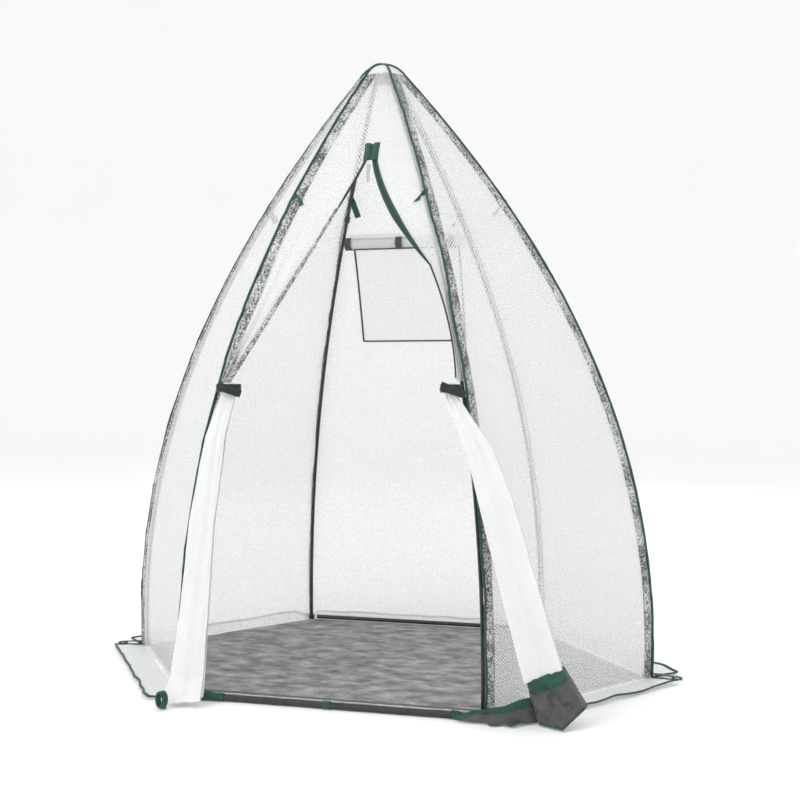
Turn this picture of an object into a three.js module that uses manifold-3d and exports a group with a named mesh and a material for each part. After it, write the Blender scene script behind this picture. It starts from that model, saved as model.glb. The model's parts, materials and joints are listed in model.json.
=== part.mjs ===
// A six-sided pop-up greenhouse: bowed poles meet in a hub at the apex and carry a thin cover with a door and a window.
// Units are millimetres, +Z is up, the door faces -Y and the origin is on the ground under the apex.
import * as THREE from 'three';
import { mergeVertices } from 'three/addons/utils/BufferGeometryUtils.js';
import Module from 'manifold-3d';

const wasm = await Module();
wasm.setup();

// Driving dimensions
const HALF_WIDTH = 680; // centre to the left or right corner on the ground
const FRONT_Y = 462; // centre to the front or back edge
const FRONT_HALF = 354; // half the length of the front or back edge
const APEX_Z = 1535; // where the profile ends under the cap
const SHEET = 1.5; // thickness of the cover, ground sheet and skirt
const SEAM_GAP = 1.5; // from a sheet's side to the corner line
const JOIN_GAP = 0.3; // between two parts that touch
const POLE_R = 4.5;
const POLE_INSET = 13; // corner line to pole centre
const WALL_Z0 = 2; // the walls' lower edge
const WALL_Z1 = 1510; // the walls' upper edge, under the cap

const AXLE_Z = 1510;
const AXLE_R = 7;
const AXLE_HALF = 36;
const EAR_R = 12;
const EAR_BORE_R = 7.4;
const EAR_WIDTH = 6;
const BAR = { near: 22, far: 28, low: -17, high: -5, half: 32 };

const TIE_Z = 710; // door tie-backs
const DOOR_X = 15; // the door's slit is a little right of centre
const DOOR_TOP_Z = 1285;
const PANEL_FOOT_Z = 726; // lower end of the gathered door panels
const WINDOW = { half: 150, low: 838, high: 1094 };
const ROLL = { r: 15, half: 165, y: 223, z: 1106 };
const SKIRT_WIDTH = 75;
const SHEET_SHARE = 0.94; // ground sheet against the footprint

// The poles' profile: share of the corner distance against height
const profile = new THREE.CubicBezierCurve(
  new THREE.Vector2(1, 0),
  new THREE.Vector2(1.041, 0.4065 * APEX_Z),
  new THREE.Vector2(0.595, 0.7284 * APEX_Z),
  new THREE.Vector2(0.046, APEX_Z),
);

const CORNERS = {
  left: new THREE.Vector2(-HALF_WIDTH, 0),
  front_left: new THREE.Vector2(-FRONT_HALF, -FRONT_Y),
  front_right: new THREE.Vector2(FRONT_HALF, -FRONT_Y),
  right: new THREE.Vector2(HALF_WIDTH, 0),
  back_right: new THREE.Vector2(FRONT_HALF, FRONT_Y),
  back_left: new THREE.Vector2(-FRONT_HALF, FRONT_Y),
};

const COLOURS = {
  pole: { color: 0x15171a, roughness: 0.45, metalness: 0 },
  plastic: { color: 0x1d1f22, roughness: 0.5, metalness: 0 },
  steel: { color: 0x9a9da1, roughness: 0.35, metalness: 1 },
  cover: { color: 0xeceeee, roughness: 0.4, metalness: 0, transparent: true, opacity: 0.45 },
  screen: { color: 0xf4f6f6, roughness: 0.3, metalness: 0, transparent: true, opacity: 0.3 },
  tape: { color: 0x1f5a45, roughness: 0.7, metalness: 0 },
  strap: { color: 0x1b2b2a, roughness: 0.8, metalness: 0 },
  ground: { color: 0x6c6c6c, roughness: 0.8, metalness: 0 },
  hem: { color: 0x4a4a4d, roughness: 0.7, metalness: 0 },
};

const model = new THREE.Group();

function add(name, geometry, colour) {
  const mesh = new THREE.Mesh(geometry, new THREE.MeshStandardMaterial(COLOURS[colour]));
  mesh.name = name;
  model.add(mesh);
  return mesh;
}

// Height to profile share, by halving, since height only grows along the curve
function share(z) {
  let low = 0;
  let high = 1;
  for (let i = 0; i < 40; i += 1) {
    const middle = (low + high) / 2;
    if (profile.getPoint(middle).y < z) low = middle;
    else high = middle;
  }
  return profile.getPoint(low).x;
}

function cornerPoint(corner, z, inset = 0) {
  const foot = CORNERS[corner];
  const reach = foot.length() * share(z) - inset;
  return new THREE.Vector3((foot.x / foot.length()) * reach, (foot.y / foot.length()) * reach, z);
}

// Closed mesh from a grid of outer points and the same grid of inner points
function shell(rows, columns, outer, inner) {
  const vertices = [];
  const put = (p) => vertices.push(p.x, p.y, p.z);
  const a = (i, j) => outer(i / columns, j / rows);
  const b = (i, j) => inner(i / columns, j / rows);
  const quad = (p, q, r, s) => [p, q, r, p, r, s].forEach(put);
  for (let j = 0; j < rows; j += 1) {
    for (let i = 0; i < columns; i += 1) {
      quad(a(i, j), a(i + 1, j), a(i + 1, j + 1), a(i, j + 1));
      quad(b(i, j), b(i, j + 1), b(i + 1, j + 1), b(i + 1, j));
    }
    quad(a(0, j), a(0, j + 1), b(0, j + 1), b(0, j));
    quad(a(columns, j), b(columns, j), b(columns, j + 1), a(columns, j + 1));
  }
  for (let i = 0; i < columns; i += 1) {
    quad(a(i, 0), b(i, 0), b(i + 1, 0), a(i + 1, 0));
    quad(a(i, rows), a(i + 1, rows), b(i + 1, rows), b(i, rows));
  }
  const geometry = new THREE.BufferGeometry();
  geometry.setAttribute('position', new THREE.Float32BufferAttribute(vertices, 3));
  return mergeVertices(geometry, 1e-3);
}

// A thin curved panel on the wall between two corners; from and to give the sides in millimetres along the wall
function wallSheet({ first, last, from, to, low, high, columns = 2, rows = 18, off = 0 }) {
  const edge = CORNERS[last].clone().sub(CORNERS[first]);
  const normal = new THREE.Vector2(edge.y, -edge.x).normalize();
  const point = (u, v, out) => {
    const z = low + (high - low) * v;
    const width = edge.length() * share(z);
    const along = from(z, width) + (to(z, width) - from(z, width)) * u;
    const base = CORNERS[first].clone().multiplyScalar(share(z));
    base.addScaledVector(edge, along / edge.length()).addScaledVector(normal, out);
    return new THREE.Vector3(base.x, base.y, z);
  };
  return shell(rows, columns, (u, v) => point(u, v, off), (u, v) => point(u, v, off - SHEET));
}

function toSolid(source) {
  const geometry = source.clone();
  geometry.deleteAttribute('normal');
  geometry.deleteAttribute('uv');
  const merged = mergeVertices(geometry, 1e-4);
  return new wasm.Manifold(new wasm.Mesh({
    numProp: 3,
    vertProperties: new Float32Array(merged.attributes.position.array),
    triVerts: new Uint32Array(merged.index.array),
  }));
}

function fromSolid(solid) {
  const mesh = solid.getMesh();
  const geometry = new THREE.BufferGeometry();
  geometry.setAttribute('position', new THREE.Float32BufferAttribute(mesh.vertProperties, 3));
  geometry.setIndex(Array.from(mesh.triVerts));
  return geometry;
}

function box(x0, x1, y0, y1, z0, z1) {
  const geometry = new THREE.BoxGeometry(x1 - x0, y1 - y0, z1 - z0);
  return geometry.translate((x0 + x1) / 2, (y0 + y1) / 2, (z0 + z1) / 2);
}

function tube(path, radius, sides, steps) {
  const section = new THREE.Shape();
  section.absarc(0, 0, radius, 0, Math.PI * 2);
  return new THREE.ExtrudeGeometry(section, {
    extrudePath: path, steps, curveSegments: sides, bevelEnabled: false,
  });
}

// A ring of rectangular section about +Z
function ring(inner, outer, height, segments) {
  const half = height / 2;
  const outline = [[inner, -half], [outer, -half], [outer, half], [inner, half], [inner, -half]];
  return new THREE.LatheGeometry(outline.map((p) => new THREE.Vector2(p[0], p[1])), segments).rotateX(Math.PI / 2);
}

// Hub: an axle across the apex, with a yoke for the front poles and one for the back poles
function makeHub() {
  const outline = [
    [0, -AXLE_HALF], [9, -AXLE_HALF], [9, 5 - AXLE_HALF], [AXLE_R, 5 - AXLE_HALF],
    [AXLE_R, AXLE_HALF - 5], [9, AXLE_HALF - 5], [9, AXLE_HALF], [0, AXLE_HALF],
  ];
  const axle = new THREE.LatheGeometry(outline.map((p) => new THREE.Vector2(p[0], p[1])), 20);
  add('hub_axle', axle.rotateZ(Math.PI / 2).translate(0, 0, AXLE_Z), 'steel');
  add('front_yoke', yoke(-1, 11), 'plastic');
  add('back_yoke', yoke(1, 21), 'plastic');
  const cap = [[0, 0], [22, -1.5], [44, -10], [60, -26], [58.5, -27], [43, -12], [21.5, -3.5], [0, -2]];
  const capOutline = cap.reverse().map((p) => new THREE.Vector2(p[0], p[1] + APEX_Z + 6));
  add('apex_cap', new THREE.LatheGeometry(capOutline, 24).rotateX(Math.PI / 2), 'tape');
}

// side is -1 for the front yoke and 1 for the back one; earX is the middle of its right ear
function yoke(side, earX) {
  const outline = new THREE.Shape();
  outline.absarc(0, 0, EAR_R, 0, Math.PI * 2);
  const bore = new THREE.Path();
  bore.absarc(0, 0, EAR_BORE_R, 0, Math.PI * 2, true);
  outline.holes.push(bore);
  const nearBar = side < 0 ? -BAR.far : BAR.near;
  const farBar = side < 0 ? -BAR.near : BAR.far;
  let solid = toSolid(box(-BAR.half, BAR.half, nearBar, farBar, BAR.low, BAR.high));
  for (const x of [-earX, earX]) {
    const ear = new THREE.ExtrudeGeometry(outline, { depth: EAR_WIDTH, curveSegments: 24, bevelEnabled: false });
    ear.rotateX(Math.PI / 2).rotateZ(Math.PI / 2).translate(x - EAR_WIDTH / 2, 0, 0);
    const armStart = side < 0 ? nearBar + 1 : 9.5;
    const armEnd = side < 0 ? -9.5 : farBar - 1;
    const arm = box(x - EAR_WIDTH / 2, x + EAR_WIDTH / 2, armStart, armEnd, BAR.low + 2, BAR.high);
    solid = solid.add(toSolid(ear)).add(toSolid(arm));
  }
  return fromSolid(solid).translate(0, 0, AXLE_Z);
}

// The pole of one corner, from its foot cap to the hub
function makePole(corner) {
  const topReach = CORNERS[corner].y === 0 ? 42 : 44;
  let top = WALL_Z1;
  while (cornerPoint(corner, top, POLE_INSET).length() ** 2 - top ** 2 < topReach ** 2) top -= 0.5;
  const footHeight = 15;
  const points = [];
  const steps = 20;
  for (let i = 0; i <= steps; i += 1) {
    points.push(cornerPoint(corner, footHeight + ((top - footHeight) * i) / steps, POLE_INSET));
  }
  add(`pole_${corner}`, tube(new THREE.CatmullRomCurve3(points), POLE_R, 4, 24), 'pole');
  const capOutline = [[0, 0], [7, 0], [8, 2], [8, 12], [7, 14], [0, 14]];
  const cap = new THREE.LatheGeometry(capOutline.map((p) => new THREE.Vector2(p[0], p[1])), 12);
  const base = cornerPoint(corner, 0, POLE_INSET);
  add(`foot_cap_${corner}`, cap.rotateX(Math.PI / 2).translate(base.x, base.y, 0), 'plastic');
}

// A tape loop around a pole, which the cover is tied with
function makePoleTie(corner) {
  const tieZ = 1172;
  const here = cornerPoint(corner, tieZ, POLE_INSET);
  const direction = cornerPoint(corner, tieZ + 5, POLE_INSET).sub(cornerPoint(corner, tieZ - 5, POLE_INSET));
  const mesh = add(`pole_tie_${corner}`, ring(5.6, 7.2, 16, 16), 'tape');
  mesh.position.copy(here);
  mesh.quaternion.setFromUnitVectors(new THREE.Vector3(0, 0, 1), direction.normalize());
}

// Each side wall is two strips, outer next to the side corner and inner next to the front or back corner
function makeSideWall(name, first, last, innerFirst) {
  const wall = { first, last, low: WALL_Z0, high: WALL_Z1, columns: 1 };
  const start = () => SEAM_GAP;
  const middleBefore = (z, width) => width / 2 - JOIN_GAP;
  const middleAfter = (z, width) => width / 2 + JOIN_GAP;
  const end = (z, width) => width - SEAM_GAP;
  const names = innerFirst ? ['inner', 'outer'] : ['outer', 'inner'];
  add(`wall_${name}_${names[0]}`, wallSheet({ ...wall, from: start, to: middleBefore }), 'cover');
  add(`wall_${name}_${names[1]}`, wallSheet({ ...wall, from: middleAfter, to: end }), 'cover');
}

// Along the front wall, measured from the front-left corner: where the tied-back door halves end
function doorEdge(side, z, width) {
  const fall = Math.max(0, (DOOR_TOP_Z - z) / (DOOR_TOP_Z - TIE_Z));
  const reach = side < 0 ? -290 * fall ** 1.1 : 258 * Math.sin(1.5 * fall) * Math.min(1, 0.34 + 1.3 * fall);
  return width / 2 + DOOR_X * Math.min(1, width / 200) + reach;
}

function makeFront() {
  const wall = { first: 'front_left', last: 'front_right', low: PANEL_FOOT_Z, high: WALL_Z1, columns: 3 };
  add('front_panel_left', wallSheet({
    ...wall, from: () => SEAM_GAP, to: (z, width) => doorEdge(-1, z, width) - JOIN_GAP,
  }), 'cover');
  add('front_panel_right', wallSheet({
    ...wall, from: (z, width) => doorEdge(1, z, width) + JOIN_GAP, to: (z, width) => width - SEAM_GAP,
  }), 'cover');
  const tab = { first: 'front_left', last: 'front_right', low: 1255, high: 1309, columns: 1, rows: 3, off: 2.2 };
  add('zip_tab', wallSheet({
    ...tab, from: (z, width) => width / 2 + DOOR_X - 20, to: (z, width) => width / 2 + DOOR_X + 20,
  }), 'tape');
  add('zip_slider', box(DOOR_X - 4, DOOR_X + 4, -188, -182, 1236, 1250), 'steel');
  add('zip_pull', box(DOOR_X - 4, DOOR_X + 4, -191, -189.4, 1206, 1238), 'steel');
  const sill = new THREE.LineCurve3(new THREE.Vector3(-328, -468, 9), new THREE.Vector3(328, -468, 9));
  add('sill_pole_front', tube(sill, 6, 4, 8), 'pole');
}

// A closed body through oval sections, each a centre, half width along X and half depth along Y
function loftedOvals(sections, sides) {
  const at = (i, k) => {
    const section = sections[k];
    const angle = (i / sides) * Math.PI * 2;
    return new THREE.Vector3(
      section.x + Math.cos(angle) * section.wide,
      section.y + Math.sin(angle) * section.deep,
      section.z + (section.tilt ?? 0) * Math.cos(angle),
    );
  };
  const vertices = [];
  const put = (p) => vertices.push(p.x, p.y, p.z);
  const last = sections.length - 1;
  for (let i = 0; i < sides; i += 1) {
    const j = (i + 1) % sides;
    for (let k = 0; k < last; k += 1) {
      [at(i, k), at(j, k), at(j, k + 1), at(i, k), at(j, k + 1), at(i, k + 1)].forEach(put);
    }
    if (i > 0 && i < sides - 1) {
      [at(0, 0), at(j, 0), at(i, 0)].forEach(put);
      [at(0, last), at(i, last), at(j, last)].forEach(put);
    }
  }
  const geometry = new THREE.BufferGeometry();
  geometry.setAttribute('position', new THREE.Float32BufferAttribute(vertices, 3));
  return mergeVertices(geometry, 1e-3);
}

// The door halves below the tie-backs, gathered and hanging, listed from the ground up
function makeDoorTails() {
  add('door_tail_left', loftedOvals([
    { x: -318, y: -530, z: 3, wide: 48, deep: 24 },
    { x: -314, y: -505, z: 60, wide: 42, deep: 17 },
    { x: -308, y: -484, z: 200, wide: 36, deep: 14 },
    { x: -300, y: -459, z: 400, wide: 34, deep: 13 },
    { x: -280, y: -426, z: 600, wide: 26, deep: 12 },
    { x: -262, y: -398, z: 690, wide: 19, deep: 10 },
    { x: -262, y: -397, z: 722, wide: 20, deep: 10 },
  ], 12), 'cover');
  add('door_tail_right', loftedOvals([
    { x: 480, y: -462, z: 106, wide: 41, deep: 15, tilt: 24 },
    { x: 440, y: -470, z: 250, wide: 41, deep: 13 },
    { x: 378, y: -462, z: 470, wide: 38, deep: 12 },
    { x: 338, y: -440, z: 580, wide: 30, deep: 10 },
    { x: 268, y: -400, z: 690, wide: 16, deep: 8 },
    { x: 264, y: -397, z: 722, wide: 15, deep: 8 },
  ], 12), 'cover');
  add('door_hem', loftedOvals([
    { x: 510, y: -474, z: 5, wide: 58, deep: 28 },
    { x: 494, y: -468, z: 50, wide: 53, deep: 22, tilt: 12 },
    { x: 481, y: -462, z: 105, wide: 42, deep: 15, tilt: 24 },
  ].map((section, k) => ({ ...section, z: k === 2 ? section.z - JOIN_GAP : section.z })), 12), 'hem');
  add('sill_flap', loftedOvals([
    { x: 362, y: -489, z: 6, wide: 70, deep: 10 },
    { x: 384, y: -489, z: 30, wide: 46, deep: 7, tilt: 12 },
    { x: 400, y: -489, z: 50, wide: 28, deep: 5, tilt: 12 },
  ], 10), 'hem');
}

// A strap around each gathered door half
function makeTieBack(name, x, halfWidth) {
  const outline = new THREE.Shape();
  outline.absellipse(0, 0, halfWidth, 21, 0, Math.PI * 2);
  const hole = new THREE.Path();
  hole.absellipse(0, 0, halfWidth - 3, 18, 0, Math.PI * 2, true);
  outline.holes.push(hole);
  const strap = new THREE.ExtrudeGeometry(outline, { depth: 18, curveSegments: 10, bevelEnabled: false });
  add(`tie_back_${name}`, strap.translate(x, -397, TIE_Z - 9), 'strap');
}

function makeBack() {
  const panel = wallSheet({
    first: 'back_right', last: 'back_left', low: WALL_Z0, high: WALL_Z1, columns: 4, rows: 18,
    from: () => SEAM_GAP, to: (z, width) => width - SEAM_GAP,
  });
  const opening = box(-WINDOW.half, WINDOW.half, 0, FRONT_Y + 50, WINDOW.low, WINDOW.high);
  add('back_panel', fromSolid(toSolid(panel).subtract(toSolid(opening))), 'cover');
  const within = (half) => ({
    first: 'back_right', last: 'back_left', from: (z, width) => width / 2 - half, to: (z, width) => width / 2 + half,
  });
  add('window_screen', wallSheet({
    ...within(WINDOW.half - 0.5), low: WINDOW.low + 0.5, high: WINDOW.high - 0.5, columns: 2, rows: 6,
  }), 'screen');
  add('window_flap', wallSheet({ ...within(WINDOW.half), low: 1123, high: 1133, columns: 1, rows: 1, off: -3 }), 'cover');
  const roll = new THREE.CylinderGeometry(ROLL.r, ROLL.r, ROLL.half * 2, 14);
  add('window_roll', roll.rotateZ(Math.PI / 2).translate(0, ROLL.y, ROLL.z), 'cover');
  const sill = new THREE.LineCurve3(new THREE.Vector3(-328, 450, 9), new THREE.Vector3(328, 450, 9));
  add('sill_pole_back', tube(sill, 6, 4, 8), 'pole');
}

// The skirt lies flat outside the wall between two corners
function makeSkirt(name, first, last) {
  const edge = CORNERS[last].clone().sub(CORNERS[first]);
  const normal = new THREE.Vector2(edge.y, -edge.x).normalize();
  const trim = 6;
  const point = (u, v, z) => {
    const along = (trim + (edge.length() - 2 * trim) * u) / edge.length();
    const base = CORNERS[first].clone().addScaledVector(edge, along).addScaledVector(normal, 1 + SKIRT_WIDTH * v);
    return new THREE.Vector3(base.x, base.y, z);
  };
  add(`skirt_${name}`, shell(2, 6, (u, v) => point(u, v, 0), (u, v) => point(u, v, SHEET)), 'cover');
}

function makeGroundSheet() {
  const outline = new THREE.Shape(Object.values(CORNERS).map((corner) => corner.clone().multiplyScalar(SHEET_SHARE)));
  add('ground_sheet', new THREE.ExtrudeGeometry(outline, { depth: SHEET, bevelEnabled: false }), 'ground');
}

// A ring just beyond each corner, which a peg goes through
function makeStakeRing(corner) {
  const inner = 9;
  const outer = 13;
  const foot = CORNERS[corner];
  const reach = foot.length() + (foot.y === 0 ? 62 : 40);
  const x = (foot.x / foot.length()) * reach;
  const y = (foot.y / foot.length()) * reach;
  add(`stake_ring_${corner}`, ring(inner, outer, 3, 18).translate(x, y, 3.5), 'tape');
}

makeHub();
for (const corner of Object.keys(CORNERS)) {
  makePole(corner);
  makeStakeRing(corner);
  makePoleTie(corner);
}
makeSideWall('front_left', 'left', 'front_left', false);
makeSideWall('front_right', 'front_right', 'right', true);
makeSideWall('back_right', 'right', 'back_right', false);
makeSideWall('back_left', 'back_left', 'left', true);
makeFront();
makeDoorTails();
makeTieBack('left', -262, 30);
makeTieBack('right', 264, 24);
makeBack();
makeSkirt('front_left', 'left', 'front_left');
makeSkirt('front_right', 'front_right', 'right');
makeSkirt('back_right', 'right', 'back_right');
makeSkirt('back_left', 'back_left', 'left');
makeSkirt('back', 'back_right', 'back_left');
makeGroundSheet();

export default model;
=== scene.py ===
"""Looks for the small six-sided pop-up greenhouse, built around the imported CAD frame.

Metres, +Z up, the door faces -Y.
"""

import json
from math import cos, exp, pi, radians, sin, sqrt

import bpy
import numpy as np
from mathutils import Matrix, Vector, noise


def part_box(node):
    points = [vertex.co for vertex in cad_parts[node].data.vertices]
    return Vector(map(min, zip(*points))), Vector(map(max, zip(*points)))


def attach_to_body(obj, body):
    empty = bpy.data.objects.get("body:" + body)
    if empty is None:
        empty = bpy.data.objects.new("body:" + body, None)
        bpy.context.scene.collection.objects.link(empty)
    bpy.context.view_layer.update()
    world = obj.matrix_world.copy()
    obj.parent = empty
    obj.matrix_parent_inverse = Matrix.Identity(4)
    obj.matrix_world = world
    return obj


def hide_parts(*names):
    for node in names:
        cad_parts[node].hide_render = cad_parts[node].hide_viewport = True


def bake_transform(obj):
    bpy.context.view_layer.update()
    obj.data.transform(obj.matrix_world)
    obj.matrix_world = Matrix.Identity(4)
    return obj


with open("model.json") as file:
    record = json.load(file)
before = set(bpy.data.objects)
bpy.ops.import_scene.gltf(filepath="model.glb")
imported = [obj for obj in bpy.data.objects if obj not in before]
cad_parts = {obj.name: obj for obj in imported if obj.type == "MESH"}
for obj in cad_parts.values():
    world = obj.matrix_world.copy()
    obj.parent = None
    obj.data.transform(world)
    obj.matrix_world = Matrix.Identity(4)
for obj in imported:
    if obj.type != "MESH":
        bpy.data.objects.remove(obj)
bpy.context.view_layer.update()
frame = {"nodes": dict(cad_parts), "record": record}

# Driving dimensions, read from the frame where it has them
POLE_INSET = 0.013
CAP_RISE = 0.006
WALL_LOW, WALL_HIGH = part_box("wall_front_left_outer")[0].z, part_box("wall_front_left_outer")[1].z
APEX_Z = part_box("apex_cap")[1].z - CAP_RISE
TIE_Z = sum(p.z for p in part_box("tie_back_left")) / 2
PANEL_FOOT_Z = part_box("front_panel_left")[0].z
DOOR_X = sum(p.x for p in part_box("zip_tab")) / 2
DOOR_TOP_Z = 1.285
WINDOW_LOW, WINDOW_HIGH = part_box("window_screen")
SKIRT_WIDTH = 0.075
SLEEVE_WIDTH = 0.024
BINDING_R = 0.0036
PROFILE = ((1, 0), (1.041, 0.4065), (0.595, 0.7284), (0.046, 1))
PROFILE_STRETCH = 1.12  # length along the profile against height, near enough for texture coordinates
BLEND_REACH = 0.85
FRONT_WIDTH = 0.708  # of the front wall at the ground
TAPE_THICKNESS, THIN_TAPE = 0.0016, 0.0014
RING_Z = 0.006
FLOOR_Z = -0.0005
AXIS_NAMES = ("left", "front_left", "front_right", "right", "back_right", "back_left")

# The view of the reference: azimuth and elevation in degrees, distance and height in metres
CAMERA = {
    "azimuth": 15.24, "elevation": 1.12, "distance": 3.067,
    "height": 0.6757, "lens": 53.4, "shift_x": 0.0217,
}


def corner_of(name):
    """The film's corner on the ground, just outside the pole's foot."""
    low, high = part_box("foot_cap_" + name)
    centre = Vector(((low.x + high.x) / 2, (low.y + high.y) / 2))
    return centre * (1 + POLE_INSET / centre.length)


CORNERS = {name: corner_of(name) for name in AXIS_NAMES}


def profile_table():
    t = np.linspace(0, 1, 400)[:, None]
    p = [np.array((share_, height * APEX_Z)) for share_, height in PROFILE]
    return (1 - t) ** 3 * p[0] + 3 * (1 - t) ** 2 * t * p[1] + 3 * (1 - t) * t**2 * p[2] + t**3 * p[3]


TABLE = profile_table()


def share(z):
    """How far out the corners are at height z, against the ground."""
    return float(np.interp(z, TABLE[:, 1], TABLE[:, 0]))


def rise(z):
    """Length along the profile up to height z, for texture coordinates."""
    return PROFILE_STRETCH * z


# -------- materials


def add_node(tree, kind):
    return tree.nodes.new("ShaderNode" + kind)


def principled(name, colour, roughness, metallic=0.0):
    made = bpy.data.materials.new(name)
    made.use_nodes = True
    nodes = made.node_tree.nodes
    shader = nodes["Principled BSDF"]
    shader.inputs["Base Color"].default_value = (*colour, 1)
    shader.inputs["Roughness"].default_value = roughness
    shader.inputs["Metallic"].default_value = metallic
    return made, made.node_tree, shader


def coordinates(tree, kind, scale=(1, 1, 1)):
    source = add_node(tree, "TexCoord")
    mapping = add_node(tree, "Mapping")
    mapping.inputs["Scale"].default_value = scale
    tree.links.new(source.outputs[kind], mapping.inputs["Vector"])
    return mapping.outputs["Vector"]


def noise_at(tree, vector, scale, detail=3.0, roughness=0.5):
    node = add_node(tree, "TexNoise")
    node.inputs["Scale"].default_value = scale
    node.inputs["Detail"].default_value = detail
    node.inputs["Roughness"].default_value = roughness
    tree.links.new(vector, node.inputs["Vector"])
    return node.outputs["Fac"]


def ramp(tree, value, stops):
    """A colour ramp on value. Each stop is a place and a colour, or a number for a grey."""
    node = add_node(tree, "ValToRGB")
    elements = node.color_ramp.elements
    while len(elements) < len(stops):
        elements.new(0.5)
    for element, (place, colour) in zip(elements, stops):
        element.position = place
        element.color = (colour, colour, colour, 1) if isinstance(colour, float) else (*colour, 1)
    tree.links.new(value, node.inputs["Fac"])
    return node.outputs["Color"]


def drive(tree, shader, socket, value, stops):
    """Feeds one socket of a shader with a ramp on value."""
    tree.links.new(ramp(tree, value, stops), shader.inputs[socket])


def maths(tree, operation, first, second):
    node = add_node(tree, "Math")
    node.operation = operation
    for socket, value in zip(node.inputs, (first, second)):
        if isinstance(value, (int, float)):
            socket.default_value = value
        else:
            tree.links.new(value, socket)
    return node.outputs[0]


def weave(tree, vector, pitch, thread):
    """1 on the threads of a diagonal grid and 0 between them. thread is their share of the pitch."""
    split = add_node(tree, "SeparateXYZ")
    tree.links.new(vector, split.inputs[0])
    lines = []
    for operation in ("ADD", "SUBTRACT"):
        diagonal = maths(tree, operation, split.outputs["X"], split.outputs["Y"])
        place = maths(tree, "PINGPONG", diagonal, pitch / 2)
        lines.append(maths(tree, "LESS_THAN", place, pitch * thread / 2))
    return maths(tree, "MAXIMUM", *lines)


def bump(tree, shader, height, strength, distance):
    node = add_node(tree, "Bump")
    node.inputs["Strength"].default_value = strength
    node.inputs["Distance"].default_value = distance
    tree.links.new(height, node.inputs["Height"])
    tree.links.new(node.outputs["Normal"], shader.inputs["Normal"])


def film(name, open_share, thread_open, light_through=0.45, tint=(0.86, 0.865, 0.865), pitch=0.0085):
    """Reinforced translucent film: a diagonal grid of threads with speckled, clearer cells between them."""
    made, tree, shader = principled(name, tint, 0.38)
    shader.inputs["Specular IOR Level"].default_value = 0.35
    vector = coordinates(tree, "UV")
    threads = weave(tree, vector, pitch, 0.45)
    speckle = noise_at(tree, vector, 260, 2.0)
    clouds = noise_at(tree, vector, 7, 3.0)
    drive(tree, shader, "Base Color", clouds, [(0.3, tuple(0.95 * c for c in tint)), (0.7, tint)])
    height = maths(tree, "ADD", threads, maths(tree, "MULTIPLY", speckle, 1.4))
    bump(tree, shader, height, 0.35, 0.0006)
    translucent = add_node(tree, "BsdfTranslucent")
    translucent.inputs["Color"].default_value = (0.92, 0.925, 0.925, 1)
    body = add_node(tree, "MixShader")
    body.inputs[0].default_value = light_through
    tree.links.new(shader.outputs[0], body.inputs[1])
    tree.links.new(translucent.outputs[0], body.inputs[2])
    clear = add_node(tree, "BsdfTransparent")
    speckled = ramp(tree, speckle, [(0.38, 0.35 * open_share), (0.62, 1.5 * open_share)])
    mask = maths(tree, "MULTIPLY", threads, -(open_share - thread_open))
    see_through = maths(tree, "MAXIMUM", maths(tree, "ADD", speckled, mask), 0.0)
    mix = add_node(tree, "MixShader")
    tree.links.new(see_through, mix.inputs[0])
    tree.links.new(body.outputs[0], mix.inputs[1])
    tree.links.new(clear.outputs[0], mix.inputs[2])
    tree.links.new(mix.outputs[0], tree.nodes["Material Output"].inputs["Surface"])
    return made


def woven(name, dark, light, pitch, roughness=0.75, sheen=0.2, kind="Object"):
    """Tightly woven tape or coated cloth, with colour variation and a fine weave in its bump."""
    made, tree, shader = principled(name, light, roughness)
    shader.inputs["Sheen Weight"].default_value = sheen
    vector = coordinates(tree, kind)
    mottled = noise_at(tree, vector, 45, 4.0)
    drive(tree, shader, "Base Color", mottled, [(0.3, dark), (0.7, light)])
    wave = add_node(tree, "TexWave")
    wave.inputs["Scale"].default_value = 0.3 / pitch
    wave.inputs["Distortion"].default_value = 1.5
    tree.links.new(vector, wave.inputs["Vector"])
    fine = noise_at(tree, vector, 900, 2.0)
    height = maths(tree, "ADD", wave.outputs["Fac"], fine)
    bump(tree, shader, height, 0.5, 0.0006)
    return made


def ground_cloth():
    """Grey woven ground sheet with crease lines, darker in them as painted shade and paler on its ridges as
    painted highlight.
    """
    made, tree, shader = principled("ground_cloth", (0.2, 0.2, 0.2), 0.62)
    vector = coordinates(tree, "Object", (1, 1.7, 1))
    creases = noise_at(tree, vector, 15, 9.0, 0.66)
    # The colour follows the crease noise that also makes the bump: painted shade in the creases, painted
    # highlight on the ridges.
    shade_and_highlight_greys = [(0.3, (0.09, 0.09, 0.092)), (0.46, 0.24), (0.68, (0.52, 0.52, 0.515))]
    drive(tree, shader, "Base Color", creases, shade_and_highlight_greys)
    threads = weave(tree, coordinates(tree, "Object"), 0.003, 0.3)
    deep, fine = maths(tree, "MULTIPLY", creases, 9.0), maths(tree, "MULTIPLY", threads, 0.4)
    height = maths(tree, "ADD", deep, fine)
    bump(tree, shader, height, 0.8, 0.0015)
    return made


def rod_black():
    """Black coated rod with long streaks of wear."""
    made, tree, shader = principled("rod_black", (0.012, 0.012, 0.013), 0.34)
    shader.inputs["Coat Weight"].default_value = 0.25
    vector = coordinates(tree, "Object", (1, 1, 0.1))
    streaks = noise_at(tree, vector, 180, 3.0)
    drive(tree, shader, "Roughness", streaks, [(0.35, 0.25), (0.7, 0.48)])
    drive(tree, shader, "Base Color", streaks, [(0.4, 0.008), (0.75, 0.024)])
    bump(tree, shader, streaks, 0.15, 0.0003)
    return made


def moulded(name, colour, roughness):
    """Moulded plastic with a fine grain and paler patches."""
    made, tree, shader = principled(name, colour, roughness)
    vector = coordinates(tree, "Object")
    grain = noise_at(tree, vector, 1400, 2.0)
    patches = noise_at(tree, vector, 60, 3.0)
    brighter = tuple(min(1, 1.7 * c) for c in colour)
    drive(tree, shader, "Base Color", patches, [(0.35, colour), (0.75, brighter)])
    bump(tree, shader, grain, 0.3, 0.0003)
    return made


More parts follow.
